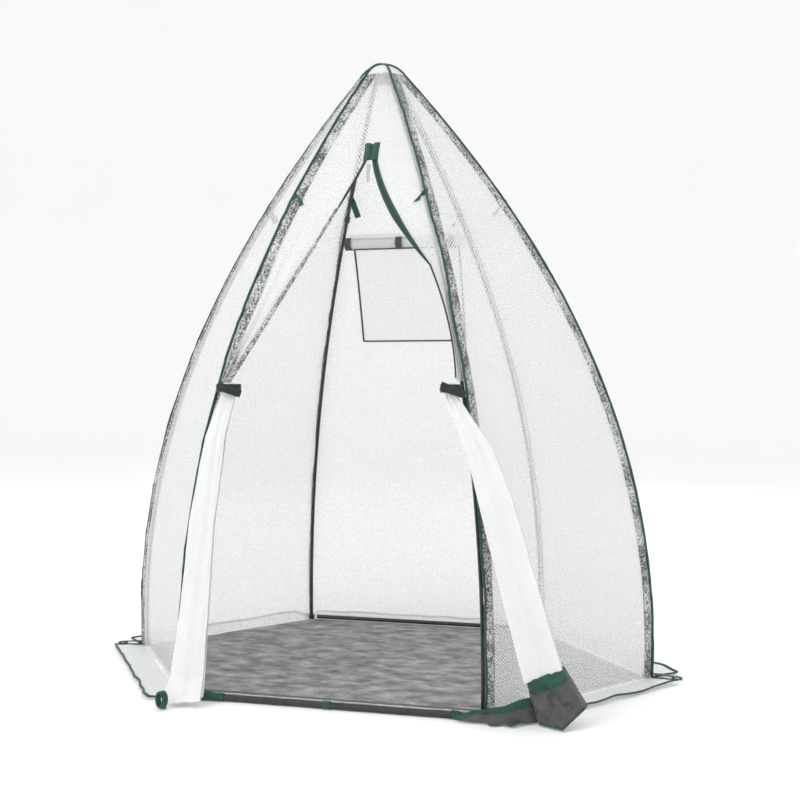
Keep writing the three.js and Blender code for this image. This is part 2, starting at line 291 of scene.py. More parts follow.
def plated(name):
    """Plated steel, brushed along its length."""
    made, tree, shader = principled(name, (0.5, 0.5, 0.51), 0.3, 1.0)
    vector = coordinates(tree, "Object", (1, 1, 14))
    brushed = noise_at(tree, vector, 260, 3.0)
    drive(tree, shader, "Roughness", brushed, [(0.3, 0.2), (0.7, 0.45)])
    bump(tree, shader, brushed, 0.12, 0.0002)
    return made


def speckled_sleeve():
    """Film gathered over the dark pole: a hard, fine speckle of dark and light that fades in patches."""
    made, tree, shader = principled("sleeve", (0.5, 0.5, 0.5), 0.4)
    vector = coordinates(tree, "Object")
    grains = noise_at(tree, vector, 230, 3.0, 0.7)
    patches = noise_at(tree, vector, 16, 2.0)
    value = maths(tree, "ADD", grains, maths(tree, "MULTIPLY", maths(tree, "SUBTRACT", patches, 0.5), 0.35))
    stops = [(0.42, (0.055, 0.058, 0.058)), (0.5, (0.23, 0.235, 0.235)), (0.56, (0.6, 0.61, 0.61))]
    drive(tree, shader, "Base Color", value, stops)
    bump(tree, shader, grains, 0.5, 0.0008)
    return made


GREEN_DARK, GREEN = (0.005, 0.042, 0.028), (0.013, 0.090, 0.056)
MATERIALS = {
    "film": film("film", 0.78, 0.06),
    "film_gathered": film("film_gathered", 0.05, 0.01, 0.3, (0.95, 0.955, 0.96)),
    "screen": film("screen", 0.5, 0.10, 0.4, (0.8, 0.81, 0.81), 0.004),
    "sleeve": speckled_sleeve(),
    # Pale cord, used only for the painted highlight line along the sill.
    "highlight_cord": woven("highlight_cord", (0.32, 0.32, 0.33), (0.62, 0.62, 0.63), 0.002, 0.5, 0.1),
    "binding": woven("binding", GREEN_DARK, GREEN, 0.0025),
    "strap": woven("strap", (0.004, 0.008, 0.008), (0.012, 0.024, 0.024), 0.0018),
    "hem": woven("hem", (0.05, 0.05, 0.053), (0.085, 0.085, 0.09), 0.0016, 0.6, 0.1),
    "sill_cloth": woven("sill_cloth", (0.012, 0.012, 0.013), (0.04, 0.04, 0.042), 0.002, 0.55, 0.1),
    "ground": ground_cloth(),
    "pole": rod_black(),
    "plastic": moulded("black_plastic", (0.014, 0.014, 0.015), 0.42),
    "steel": plated("plated_steel"),
}

# -------- mesh helpers


def quads(rows, columns, closed=False):
    """Faces between rows of points. Closed rows run all the way round."""
    wide = columns if closed else columns + 1
    faces = []
    for j in range(rows):
        for i in range(columns):
            k = (i + 1) % wide
            faces.append((j * wide + i, j * wide + k, (j + 1) * wide + k, (j + 1) * wide + i))
    return faces


def grid(name, columns, rows, point, material, uv=(1, 1)):
    """An open surface from point(u, v), with u and v from 0 to 1. uv is its size in metres or a function."""
    points, texture = [], []
    for j in range(rows + 1):
        for i in range(columns + 1):
            u, v = i / columns, j / rows
            points.append(point(u, v))
            texture.append(uv(u, v) if callable(uv) else (uv[0] * u, uv[1] * v))
    return mesh_object(name, points, quads(rows, columns), material, texture)


def mesh_object(name, points, faces, material, texture=None):
    """A smooth-shaded object in the scene. texture holds one coordinate pair for each point."""
    mesh = bpy.data.meshes.new(name)
    mesh.from_pydata([tuple(p) for p in points], [], faces)
    mesh.polygons.foreach_set("use_smooth", [True] * len(mesh.polygons))
    if texture:
        layer = mesh.uv_layers.new(name="UVMap")
        for loop in mesh.loops:
            layer.data[loop.index].uv = texture[loop.vertex_index]
    mesh.materials.append(MATERIALS[material])
    made = bpy.data.objects.new(name, mesh)
    bpy.context.scene.collection.objects.link(made)
    return made


def tube(name, points, radius, material, flat=1.0, sides=8):
    """A closed tube along points. flat is its height against its width."""
    points = [Vector(p) for p in points]
    count = len(points)
    vertices, side = [], None
    for k, here in enumerate(points):
        ahead = (points[min(k + 1, count - 1)] - points[max(k - 1, 0)]).normalized()
        if side is None:
            side = ahead.orthogonal().normalized()
        side = (side - ahead * side.dot(ahead)).normalized()
        up = ahead.cross(side)
        for i in range(sides):
            angle = 2 * pi * i / sides
            vertices.append(here + radius * (side * cos(angle) + up * (flat * sin(angle))))
    faces = quads(count - 1, sides, True)
    faces.append(tuple(reversed(range(sides))))
    faces.append(tuple(range((count - 1) * sides, count * sides)))
    return mesh_object(name, vertices, faces, material)


def ribbon(name, points, width_vectors, thickness, material):
    """A thin closed strap: its middle line, half its width as a vector at each point, and its thickness."""
    vertices, count = [], len(points)
    for k in range(count):
        here, across = Vector(points[k]), Vector(width_vectors[k])
        ahead = Vector(points[min(k + 1, count - 1)]) - Vector(points[max(k - 1, 0)])
        lift = across.cross(ahead).normalized() * (thickness / 2)
        vertices += [here - across - lift, here + across - lift, here + across + lift, here - across + lift]
    ends = [(3, 2, 1, 0), tuple(4 * (count - 1) + i for i in range(4))]
    faces = quads(count - 1, 4, True) + ends
    made = mesh_object(name, vertices, faces, material)
    made.data.polygons.foreach_set("use_smooth", [False] * len(made.data.polygons))
    return made


def drift(*place):
    """Smooth noise between -1 and 1, always the same at the same place."""
    return noise.noise(Vector(place))


def attach(piece, body):
    """Puts a piece on the body it rides on."""
    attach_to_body(piece, body)


def cut_size(half_edge, inset, low, high, spare=0.0):
    """Width, length and area of the flat cut for a wall part, from the profile and not from any mesh."""
    heights = np.linspace(low, high, 200)
    shares = np.array([share(z) for z in heights])
    steps = np.hypot(np.diff(heights), inset * np.diff(shares))
    widths = half_edge * shares + spare
    area = float(np.sum(steps * (widths[1:] + widths[:-1]) / 2))
    return float(max(widths)), float(np.sum(steps)), area


def declare(piece, body=None):
    """Puts piece on body, where one is given."""
    if body:
        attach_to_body(piece, body)


# -------- walls


def wall_frame(first, last):
    """The line along a wall's foot, and its outward normal on the ground."""
    edge = CORNERS[last] - CORNERS[first]
    normal = Vector((edge.y, -edge.x)).normalized()
    return edge, normal


def slack(first, s, z):
    """How far the film stands out from the straight wall: a sag, soft ripples and puckers at the seams."""
    middle = sin(pi * s)
    seed = 3.7 * AXIS_NAMES.index(first)
    height = z / APEX_Z
    sag = -0.010 * middle * sin(pi * min(1, height))
    ripple = 0.007 * middle * drift(3.4 * s + seed, 5.2 * z, seed)
    fold = 0.0032 * sqrt(max(0.0, middle)) * drift(15 * s + seed, 2.0 * z, 4.1)
    pucker = 0.0022 * (1 - middle) ** 3 * middle * 6 * drift(seed, 42 * z, 1.3)
    calm = 0.3 if first == "back_right" else 1.0
    return calm * (sag + ripple + fold) + pucker


def wall_point(first, last, s, z, out=0.0):
    """A point of the wall between two corners, at share s along it and height z."""
    edge, normal = wall_frame(first, last)
    flat = (CORNERS[first] + edge * s) * share(z) + normal * (out + slack(first, s, z))
    return Vector((flat.x, flat.y, z))


def front_point(s, z, out=0.0):
    return wall_point("front_left", "front_right", s, z, out)


def wall_uv(first, last, s, z):
    return (s - 0.5) * wall_frame(first, last)[0].length * share(z), rise(z)


def blend_strip(piece, bodies, first, last, low, high):
    """Bakes the transform of a strip of side wall or skirt into its mesh, without bending it.

    The strip runs from share low to share high of its wall. The bend lies across the plane through
    bodies is not used.
    """
    first_foot, last_foot = (CORNERS[first].lerp(CORNERS[last], s) for s in (low, high))
    middle = (first_foot + last_foot) / 2
    across = Vector((-middle.y, middle.x)).normalized()
    if across.dot(last_foot - first_foot) < 0:
        across = -across
    reach = abs(across.dot(first_foot)) * BLEND_REACH
    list(bodies)
    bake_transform(piece)


# Each side wall: its corners in order, and the bodies of its strip halves in the same order
SIDE_WALLS = {
    "front_left": ("left", "front_left", ("root", "front_mid", "front_frame")),
    "front_right": ("front_right", "right", ("front_frame", "front_mid", "root")),
    "back_right": ("right", "back_right", ("root", "back_mid", "back_frame")),
    "back_left": ("back_left", "left", ("back_frame", "back_mid", "root")),
}


def half_names(bodies):
    """Labels of a side wall's two strips, in corner order. The outer one is the strip at the side pole."""
    return ("outer", "inner") if bodies[0] == "root" else ("inner", "outer")


def make_side_wall(name):
    """A side wall as two strips, which meet where it folds."""
    first, last, bodies = SIDE_WALLS[name]
    for half, label in enumerate(half_names(bodies)):
        low, high = half / 2, half / 2 + 0.5

        def place(u, v):
            return first, last, low + (high - low) * u, WALL_LOW + (WALL_HIGH - WALL_LOW) * v

        piece = grid(
            f"film_{name}_{label}", 14, 80, lambda u, v: wall_point(*place(u, v)),
            "film", lambda u, v: wall_uv(*place(u, v)),
        )
        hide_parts(f"wall_{name}_{label}")
        edge, normal = wall_frame(first, last)
        cut = cut_size(edge.length / 2, abs(CORNERS[first].dot(normal)), WALL_LOW, WALL_HIGH)
        declare(piece)
        blend_strip(piece, bodies[half : half + 2], first, last, low, high)


def door_fall(z):
    """0 from the top of the doorway upwards, and 1 at the tie-backs."""
    return max(0.0, (DOOR_TOP_Z - z) / (DOOR_TOP_Z - TIE_Z))


def door_edge(side, z):
    """Where the tied-back door half ends, as a share along the front wall at height z."""
    width = (CORNERS["front_right"] - CORNERS["front_left"]).length * share(z)
    fall = door_fall(z)
    if side < 0:
        reach = -0.290 * fall**1.1
    else:
        reach = 0.258 * sin(1.5 * fall) * min(1, 0.34 + 1.3 * fall)
    return (width / 2 + DOOR_X * min(1.0, width / 0.2) + reach) / width


def make_front_panel(side, label):
    """A door half above its tie-back: flat at the top, gathered into pleats towards the strap."""
    wall = CORNERS["front_right"] - CORNERS["front_left"]

    def place(u, v):
        z = PANEL_FOOT_Z + (WALL_HIGH - PANEL_FOOT_Z) * v
        edge = door_edge(side, z)
        s = edge * u if side < 0 else edge + (1 - edge) * u
        return s, z

    def point(u, v):
        s, z = place(u, v)
        free = u if side < 0 else 1 - u
        pleats = sin(2 * pi * 3.0 * free + 1.2 * drift(side, 3 * z, 0))
        return front_point(s, z, 0.011 * door_fall(z) ** 2.2 * pleats * min(1, 4 * free))

    def texture(u, v):
        s, z = place(u, v)
        return (u - 0.5) * (0.5 * wall.length * share(z)), rise(z)

    piece = grid(f"film_front_{label}", 42, 70, point, "film", texture)
    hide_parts(f"front_panel_{label}")
    declare(piece, "front_frame")


def make_back_panel():
    """The back wall as four parts of one cut round its window, in one mesh."""
    first, last = "back_right", "back_left"
    half = -WINDOW_LOW.x
    rows = sorted(set(np.linspace(WALL_LOW, WALL_HIGH, 61)) | {WINDOW_LOW.z, WINDOW_HIGH.z})
    columns = 40
    points, texture, faces = [], [], []
    for z in rows:
        width = wall_frame(first, last)[0].length * share(z)
        edge = min(0.45, half / width)
        for i in range(columns + 1):
            t = i / columns
            if t <= 0.25:
                s = (0.5 - edge) * t / 0.25
            elif t < 0.75:
                s = 0.5 - edge + 2 * edge * (t - 0.25) / 0.5
            else:
                s = 0.5 + edge + (0.5 - edge) * (t - 0.75) / 0.25
            points.append(wall_point(first, last, s, z))
            texture.append(wall_uv(first, last, s, z))
    for n, face in enumerate(quads(len(rows) - 1, columns)):
        j, i = divmod(n, columns)
        in_height = rows[j] >= WINDOW_LOW.z - 1e-6 and rows[j + 1] <= WINDOW_HIGH.z + 1e-6
        in_width = 0.25 <= i / columns and (i + 1) / columns <= 0.75
        if not (in_height and in_width):
            faces.append(face)
    piece = mesh_object("film_back", points, faces, "film", texture)
    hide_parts("back_panel")
    declare(piece, "back_frame")


def back_point(x, z, out=0.0):
    width = wall_frame("back_right", "back_left")[0].length * share(z)
    return wall_point("back_right", "back_left", 0.5 - x / width, z, out)


def make_window():
    """The window's screen and the four strips of binding round it."""
    half = -WINDOW_LOW.x
    low, high = WINDOW_LOW.z, WINDOW_HIGH.z
    screen = grid(
        "window_mesh", 20, 20,
        lambda u, v: back_point(half * (1 - 2 * u), low + (high - low) * v),
        "screen", (2 * half, high - low),
    )
    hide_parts("window_screen")
    declare(screen, "back_frame")
    corners = [(-half, low), (half, low), (half, high), (-half, high)]
    for k, label in enumerate(("low", "left", "high", "right")):
        (x, z), (end_x, end_z) = corners[k], corners[(k + 1) % 4]
        steps = [n / 16 for n in range(17)]
        line = [back_point(x + (end_x - x) * t, z + (end_z - z) * t, -0.001) for t in steps]
        edge = tube(f"window_binding_{label}", line, 0.0032, "hem", 0.5)
        attach(edge, "back_frame")


def make_window_roll():
    """The flap rolled up as a real spiral of film, the short sheet it hangs from and its two ties."""
    low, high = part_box("window_roll")
    middle = (low + high) / 2
    radius, turns, inner = (high.z - low.z) / 2, 3.0, 0.006

    def spiral(u, v):
        angle = 2 * pi * turns * v + pi / 2 - 2 * pi * turns
        size = inner + (radius - inner) * v + 0.0008 * drift(14 * u, 5 * v, 2)
        x = low.x + (high.x - low.x) * u
        return Vector((x, middle.y + size * cos(angle), middle.z + size * sin(angle)))

    roll = grid("window_flap_roll", 30, 90, spiral, "film_gathered", (0.33, 0.27))
    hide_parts("window_roll")
    declare(roll, "window_roll")
    top_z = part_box("window_flap")[1].z
    start = back_point(0, top_z, -0.003)
    end = Vector((0, middle.y, high.z - 0.0005))

    def sheet_point(u, v):
        x = 0.95 * (low.x + (high.x - low.x) * u)
        top = back_point(x, top_z, -0.003)
        return top.lerp(Vector((x, end.y, end.z)), v)

    sheet = grid("window_flap_sheet", 24, 10, sheet_point, "film_gathered", (0.33, 0.02))
    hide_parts("window_flap")
    declare(sheet)
    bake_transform(sheet)
    for label, x in (("left", -0.158), ("middle", -0.012), ("right", 0.134)):
        line, widths = [], []
        for n in range(25):
            angle = pi * (0.35 - 1.55 * n / 24)
            size = radius + 0.0025
            line.append((x, middle.y - size * cos(angle), middle.z + size * sin(angle)))
            widths.append((0.009, 0, 0))
        line.append((x, middle.y + radius + 0.004, middle.z + 0.006))
        widths.append((0.009, 0, 0))
        tie = ribbon(f"window_tie_{label}", line, widths, 0.0015, "hem")
        attach(tie, "window_roll")


# -------- seams, cap and poles


SEAM_BODIES = {
    "left": "root", "right": "root",
    "front_left": "front_frame", "front_right": "front_frame",
    "back_left": "back_frame", "back_right": "back_frame",
}


def seam_point(name, z, out=0.0):
    """A point on a corner at height z, moved out from the middle of the plan."""
    foot = CORNERS[name]
    reach = foot.length * share(z) + out
    flat = foot.normalized() * reach
    return Vector((flat.x, flat.y, z))


def cap_profile(t, proud):
    """Share of the corner distance, and height, along the rounded top from the walls to the centre."""
    low, top = WALL_HIGH - 0.004, APEX_Z - 0.002 + proud
    edge = share(low) + proud
    bend = edge + (share(low) - share(low - 0.02)) / 0.02 * (top - low)
    spread = (1 - t) ** 2 * edge + 2 * t * (1 - t) * bend
    return spread, (1 - t) ** 2 * low + (1 - (1 - t) ** 2) * top


def make_seam(name):
    """The green binding sewn along a corner, with the small wander of a hand-fed seam."""
    seed = AXIS_NAMES.index(name)
    foot = CORNERS[name].normalized()
    across = Vector((-foot.y, foot.x, 0))
    line = []
    for n in range(181):
        z = 0.004 + (WALL_HIGH - 0.008) * n / 180
        wander = 0.0045 * drift(5.3 * seed, 9 * z, 0) + 0.0022 * drift(seed, 40 * z, 7)
        wander *= min(1, 6 * share(z))
        line.append(seam_point(name, z, 0.0015 + 0.4 * abs(wander)) + across * wander)
    for t in np.linspace(0.1, 0.98, 10):
        spread, z = cap_profile(t, 0.005)
        flat = CORNERS[name] * spread
        line.append(Vector((flat.x, flat.y, z)))
    seam = tube(f"seam_binding_{name}", line, BINDING_R, "binding", 0.7)
    attach(seam, SEAM_BODIES[name])


# The wall that each sleeve is sewn to, and whether it is at that wall's first corner. The back has none.
SLEEVE_WALLS = {
    "left": ("left", "front_left", True), "front_left": ("front_left", "front_right", True),
    "front_right": ("front_right", "right", True), "right": ("front_right", "right", False),
}


def make_sleeve(name):
    """The narrow sleeve beside a seam, where gathered film shows the dark pole behind it as a speckle."""
    first, last, at_start = SLEEVE_WALLS[name]
    length = wall_frame(first, last)[0].length

    def point(u, v):
        z = 0.006 + (WALL_HIGH - 0.012) * v
        width = min(SLEEVE_WIDTH * (1 + 0.12 * drift(length, 12 * v, 0)), 0.4 * length * share(z))
        s = (0.002 + width * u) / (length * share(z))
        out = 0.0010 + 0.0040 * sin(pi * u) + 0.0012 * drift(6 * u, 60 * v, length)
        return wall_point(first, last, s if at_start else 1 - s, z, out)

    sleeve = grid(f"pole_sleeve_{name}", 8, 150, point, "sleeve", (SLEEVE_WIDTH, 1.6))
    declare(sleeve, SEAM_BODIES[name])


def make_cap():
    """The film closes over the hub in six gores that follow the walls to a low, rounded top."""
    points, rings, per_side = [], 12, 4
    for k in range(rings):
        spread, z = cap_profile(k / rings, 0.003)
        for c in range(6):
            a, b = CORNERS[AXIS_NAMES[c]], CORNERS[AXIS_NAMES[(c + 1) % 6]]
            for i in range(per_side):
                flat = a.lerp(b, i / per_side) * spread
                points.append((flat.x, flat.y, z))
    count = 6 * per_side
    points.append((0, 0, cap_profile(1.0, 0.003)[1]))
    faces, last = quads(rings - 1, count, True), (rings - 1) * count
    faces += [(last + i, last + (i + 1) % count, len(points) - 1) for i in range(count)]
    texture = [(p[0], p[1]) for p in points]
    cap = mesh_object("film_cap", points, faces, "film_gathered", texture)
    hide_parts("apex_cap")
    declare(cap, "root")


def paint_frame():
    slots = {row["node"]: row["material_slot"] for row in frame["record"]["subparts"]}
    for node, slot in slots.items():
        if slot in ("pole", "plastic", "steel", "tape", "strap", "hem"):
            data = frame["nodes"][node].data
            data.materials.clear()
            data.materials.append(MATERIALS["binding" if slot == "tape" else slot])


def make_pole_tie_tail(name):
    """The loose end of the tape that ties the cover to a pole."""
    low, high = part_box("pole_tie_" + name)
    centre = (low + high) / 2
    foot = CORNERS[name].normalized()
    toward = Vector((-1 if CORNERS[name].x > 0 else 1, 0, 0))
    outward = Vector((foot.x, foot.y, 0))
    across = Vector((0.35, 0, 0.94)) * 0.008
    widths = [across, across, Vector((0.006, 0, 0.006)), Vector((0.008, 0, 0.003))]
    if name.startswith("front"):
        width = FRONT_WIDTH * share(centre.z)
        steps = ((-0.004, 0.002), (0.008, -0.002), (0.020, -0.011), (0.027, -0.022))
        line = [
            front_point((x if toward.x > 0 else width - x) / width, centre.z + z, 0.0035) for x, z in steps
        ]
    elif name == "back_left":
        start = centre - outward * (0.006 + POLE_INSET) + Vector((0, 0, 0.062))
        line = [start + Vector((0.030 * t, -0.020 * t, -0.062 * t**1.2)) for t in (0, 0.35, 0.7, 1)]
        widths = [Vector((0.008, 0, 0.002))] * 4
    else:
        start = centre + outward * (POLE_INSET + 0.004)
        steps = ((0.002, 0), (0.012, -0.004), (0.024, -0.016), (0.031, -0.030))
        line = [start + toward * reach + Vector((0, 0, drop)) for reach, drop in steps]
    tail = ribbon(f"pole_tie_tail_{name}", line, widths, TAPE_THICKNESS, "binding")
    attach(tail, SEAM_BODIES[name])


# -------- door


def make_zip_tape(side, label):
    """The green zip tape along the free edge of a door half, widest near the tab."""
    line, widths = [], []
    if side > 0:
        low_z = 0.740
        heights = (0.72, 0.99, 1.03, 1.12, 1.27, 1.29)
        halves = (0.0016, 0.0020, 0.0045, 0.0092, 0.0066, 0.0066)
    else:
        low_z = 1.130
        heights, halves = (0.72, 1.12, 1.20, 1.29), (0.002, 0.002, 0.0042, 0.0036)
    for n in range(60):
        t = n / 59
        z = DOOR_TOP_Z - 0.006 - (DOOR_TOP_Z - low_z) * t
        shift = 0.006 * side * max(0.0, 1 - 2.2 * t)
        s = door_edge(side, z) + shift / FRONT_WIDTH / share(z)
        line.append(front_point(s, z, 0.002 + 0.002 * sin(pi * t)))
        half = float(np.interp(z, heights, halves))
        widths.append(Vector((half, 0, 0.25 * half)))
    tape = ribbon(f"zip_tape_{label}", line, widths, THIN_TAPE, "binding")
    attach(tape, "front_frame")
    if side < 0:
        make_left_fold(low_z)
    teeth_line = [p + Vector((-side * 0.0005, -0.0016, 0)) for p in line]
    teeth = tube(f"zip_teeth_{label}", teeth_line, 0.0011, "plastic", sides=6)
    attach(teeth, "front_frame")


def make_left_fold(top_z):
    """The rolled, speckled edge of the left door half, from the end of its zip tape down to its strap."""

    def point(u, v):
        z = top_z + 0.012 + (TIE_Z + 0.012 - top_z - 0.012) * v
        w = 2 * u - 1
        half = 0.0045 + 0.0035 * v + 0.0012 * drift(3, 22 * v, 0)
        s = door_edge(-1, z) + (half * w - 0.002) / FRONT_WIDTH / share(z)
        return front_point(s, z, 0.0035 + 0.004 * cos(w * pi / 2))

    fold = grid("door_edge_fold", 10, 60, point, "sleeve", (0.02, 0.4))
    declare(fold, "front_frame")


def make_zip_tab():
    """The folded green tab that covers the top of the zip: two lobes with a stitched dip between them."""
    low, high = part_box("zip_tab")

    def point(u, v):
        z = low.z + 0.007 + (high.z - low.z - 0.007) * v
        x = low.x + (high.x - low.x) * (0.03 + 0.94 * u)
        lobe = 0.0045 * abs(sin(2 * pi * u)) ** 0.7
        flare = 1 + 0.10 * abs(v - 0.5)
        notch = 0.004 * exp(-((u - 0.5) / 0.09) ** 2) * (v - 0.3)
        s = 0.5 + (DOOR_X + (x - DOOR_X) * flare) / (FRONT_WIDTH * share(z))
        return front_point(s, z, 0.0025 + lobe) - Vector((0, 0, notch))

    tab = grid("zip_tab_fold", 24, 18, point, "binding")
    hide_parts("zip_tab")
    declare(tab, "front_frame")


def interpolate(rows, z):
    """Values at height z, on straight lines between rows of (z, value, ...), highest first."""
    heights = [row[0] for row in rows][::-1]
    return [float(np.interp(z, heights, [row[k] for row in rows][::-1])) for k in range(1, len(rows[0]))]


# Each gathered door half below its strap: height, centre X, centre Y, half width, half depth and side tilt
TAIL_LEFT = (
    (0.722, -0.262, -0.397, 0.018, 0.008, 0), (0.690, -0.262, -0.398, 0.018, 0.008, 0),
    (0.600, -0.280, -0.424, 0.024, 0.012, 0), (0.400, -0.300, -0.457, 0.031, 0.013, 0),
    (0.200, -0.308, -0.482, 0.034, 0.014, 0), (0.060, -0.314, -0.505, 0.040, 0.017, 0),
    (0.012, -0.318, -0.530, 0.048, 0.024, 0.10),
)
TAIL_RIGHT = (
    (0.722, 0.264, -0.397, 0.015, 0.008, 0), (0.690, 0.268, -0.401, 0.016, 0.008, 0),
    (0.580, 0.338, -0.440, 0.030, 0.010, 0.05), (0.470, 0.378, -0.462, 0.038, 0.012, 0.1),
    (0.250, 0.440, -0.470, 0.041, 0.012, 0.2), (0.104, 0.480, -0.463, 0.041, 0.012, 0.42),
)


def make_tail(label, rows, runs, body):
    """A gathered door half: the cut's whole width folded to and fro in layers behind a smooth front one."""
    top, bottom = rows[0][0], rows[-1][0]
    seed = 5.0 if label == "left" else 9.0

    def point(u, v):
        z = top + (bottom - top) * v
        x, y, wide, deep, tilt = interpolate(rows, z)
        run = min(int(runs * u), runs - 1)
        across = runs * u - run
        w = (2 * across - 1) * (-1 if run % 2 else 1)
        depth = deep * (1.7 * u - 0.85)
        ripple = 0.12 * deep * sin(pi * (2.6 * w + 0.6 * drift(seed, 3 * v, 0)))
        crumple = 0.0022 * drift(3 * w + seed, 13 * v, 3) + 0.0012 * drift(8 * w, 40 * v, seed)
        side = x + wide * w * (1 + 0.05 * drift(seed, 9 * v, 0)) * (1 - 0.05 * run)
        return Vector((side, y + depth + ripple + crumple, z + tilt * wide * w))

    length = top - bottom
    piece = grid(f"door_gathered_{label}", 18 * runs, 110, point, "film_gathered", (0.34, length))
    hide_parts(f"door_tail_{label}")
    front = CORNERS["front_right"]
    cut = cut_size(front.x, -front.y, max(bottom, WALL_LOW), top, DOOR_X)
    declare(piece, body)


def curve_through(points, t):
    """A place on the curve through three points, with t from 0 to 1."""
    first, second, third = (Vector(p) for p in points)
    return first * ((1 - t) * (1 - 2 * t)) + second * (4 * t * (1 - t)) + third * (t * (2 * t - 1))


def bent_line(points, t, bend=0.56):
    """A place on two straight lines through three points, with t from 0 to 1 and the middle one at bend."""
    first, second, third = (Vector(p) for p in points)
    return first.lerp(second, t / bend) if t < bend else second.lerp(third, (t - bend) / (1 - bend))


def make_hem():
    """The dark grey lower hem of the right door half, twisted on its corner, with two green bands."""
    head = ((0.440, -0.464, 0.086), (0.480, -0.474, 0.104), (0.519, -0.458, 0.121))
    foot = ((0.467, -0.476, 0.004), (0.524, -0.506, 0.004), (0.569, -0.462, 0.042))

    def point(u, v, out=0.0):
        w = 2 * u - 1
        inside = max(0.0, abs(w) - 0.86) / 0.14
        across = min(1.0, max(0.0, 0.5 + 0.5 * w / 0.93))
        place = curve_through(head, across).lerp(bent_line(foot, across), v)
        fold = 0.016 * exp(-(((across - 0.42 - 0.30 * v) / 0.13) ** 2))
        fold *= sin(pi * min(1, v * 1.1))
        pinch = 0.008 * exp(-(((across - 0.80) / 0.10) ** 2) - ((v - 0.35) / 0.3) ** 2)
        crease = 0.008 * drift(4 * u, 4 * v, 2) + 0.0032 * drift(15 * u, 11 * v, 5)
        return place + Vector((0, fold - pinch - crease + 0.022 * inside - out, 0))

    hem = grid("door_hem_cloth", 60, 44, point, "hem", (0.17, 0.11))
    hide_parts("door_hem")
    declare(hem, "door_right")
    for label, low_v, high_v in (("top", -0.03, 0.27), ("foot", 0.95, 1.0)):
        band = grid(
            f"door_hem_band_{label}", 60, 10,
            lambda u, v: point(u, low_v + (high_v - low_v) * v, THIN_TAPE), "binding",
        )
        declare(band, "door_right")


def make_sill_flap():
    """The loose grey flap at the door's right foot, from the sill up to the hem, with a green edge."""
    low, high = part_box("sill_flap")

    def top_line(u):
        return 0.012 + 0.050 * u**0.85 + 0.003 * drift(6 * u, 0, 4)

    def point(u, v, out=0.0):
        x = low.x + (high.x + 0.040 - low.x) * u
        y = -0.490 - 0.005 * sin(3 * u) - 0.003 * sin(9 * u + 3 * v)
        y += 0.11 * max(0.0, u - 0.6)
        return Vector((x, y - out - 0.010 * (1 - v) * u, 0.004 + (top_line(u) - 0.004) * v))

    flap = grid("sill_flap_cloth", 36, 12, point, "hem", (0.13, 0.05))
    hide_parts("sill_flap")
    declare(flap, "front_frame")

    def band_point(u, v):
        low_v = max(0.0, 0.62 - 2.5 * max(0.0, 0.22 - u))
        return point(u, low_v * (1 - v) + v, THIN_TAPE)

    edge = grid("sill_flap_band", 36, 6, band_point, "binding")
    declare(edge, "front_frame")


def make_sill():
    """The black sleeve along the door's foot, a pale cord on it that is a painted highlight, a dark rim
    behind it that is the floor's edge with its painted shadow, and the green loops round it.
    """
    low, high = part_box("sill_pole_front")
    half = high.x + 0.012
    middle_y, middle_z = (low.y + high.y) / 2, (low.z + high.z) / 2

    def sleeve(u, v):
        x = -half + 2 * half * u
        angle = pi * (0.62 + 1.1 * v)
        size = 0.0075 + 0.001 * drift(22 * x, 2 * v, 1)
        sag = 0.0015 * drift(9 * x, 0, 2)
        return Vector((x, middle_y + size * cos(angle), middle_z + size * sin(angle) + sag))

    cloth = grid("sill_sleeve", 90, 10, sleeve, "sill_cloth", (2 * half, 0.03))
    declare(cloth, "front_frame")
    # A pale cord along the top of the sleeve: a painted highlight line.
    line = []
    for n in range(61):
        z = 0.0185 + 0.0012 * drift(n * 0.31, 0, 0)
        line.append((-half + 2 * half * n / 60, middle_y - 0.002, z))
    attach(tube("sill_highlight_cord", line, 0.0013, "highlight_cord"), "front_frame")

    # A dark band behind the sleeve: the floor's dark edge, with its painted shadow.
    def rim(u, v):
        x = -half + 2 * half * u
        y = middle_y - 0.001 + (0.042 + 0.006 * drift(14 * x, 1, 1)) * v
        return Vector((x, y, 0.0195 - 0.007 * v + 0.002 * drift(20 * x, 4 * v, 3)))

    band = grid("ground_rim_and_shadow", 110, 8, rim, "sill_cloth", (2 * half, 0.04))
    declare(band, "front_frame")
    for k, x in enumerate((-0.272, 0.000, 0.290)):
        loop_line, widths = [], []
        for n in range(21):
            angle = 2 * pi * n / 20 * 0.93
            z = middle_z + 0.0006 + 0.0094 * sin(angle)
            loop_line.append((x, middle_y + 0.0092 * cos(angle), z))
            widths.append((0.026 if k == 0 else 0.008, 0, 0))
        loop = ribbon(f"sill_loop_{k}", loop_line, widths, THIN_TAPE, "binding")
        attach(loop, "front_frame")


def make_tie_back_tab(label):
    """The tongue of the strap that holds a gathered door half."""
    low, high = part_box("tie_back_" + label)
    x = (low.x + high.x) / 2
    line, widths = [], []
    for n in range(12):
        t = n / 11
        line.append((x - 0.018 + 0.052 * t, low.y - 0.0015 + 0.012 * t**3, TIE_Z + 0.006 - 0.020 * t))
        widths.append((0.003, 0, 0.0095 - 0.0015 * t))
    tab = ribbon(f"tie_back_tab_{label}", line, widths, 0.0022, "strap")
    attach(tab, "front_frame")


# -------- ground sheet and skirt


